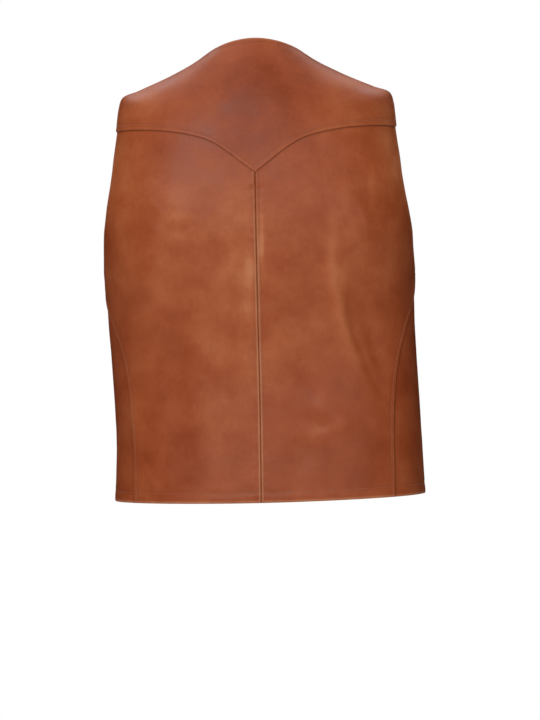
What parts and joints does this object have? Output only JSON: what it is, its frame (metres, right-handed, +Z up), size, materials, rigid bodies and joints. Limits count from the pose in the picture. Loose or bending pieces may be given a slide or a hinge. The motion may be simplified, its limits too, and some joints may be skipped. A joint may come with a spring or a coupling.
{
  "type": "western vest",
  "caption": "Sleeveless waist-length vest of smooth brown leather with a pointed back yoke, a centre back seam and a snapped V-neck front, held open as if worn.",
  "frame": {"origin": "middle of the line across the shoulders where the wearer holds the vest up, 52 mm below the back neck edge", "axes": "+Z up, +X towards the wearer's left, -Y the way the wearer faces, so the back faces +Y"},
  "size_m": [0.44, 0.2638, 0.6387],
  "materials": {
    "leather": "smooth semi-gloss with a light pull-up mottle outside, suede inside",
    "snap_metal": "antique brass"
  },
  "bodies": {
    "root": {"back_yoke": "leather", "back_left": "leather", "back_right": "leather", "front_left": "leather", "front_right": "leather", "snap_cap_1": "snap_metal", "snap_cap_2": "snap_metal", "snap_cap_3": "snap_metal", "snap_cap_4": "snap_metal", "snap_cap_5": "snap_metal", "snap_back_1": "snap_metal", "snap_back_2": "snap_metal", "snap_back_3": "snap_metal", "snap_back_4": "snap_metal", "snap_back_5": "snap_metal"}
  },
  "joints": []
}
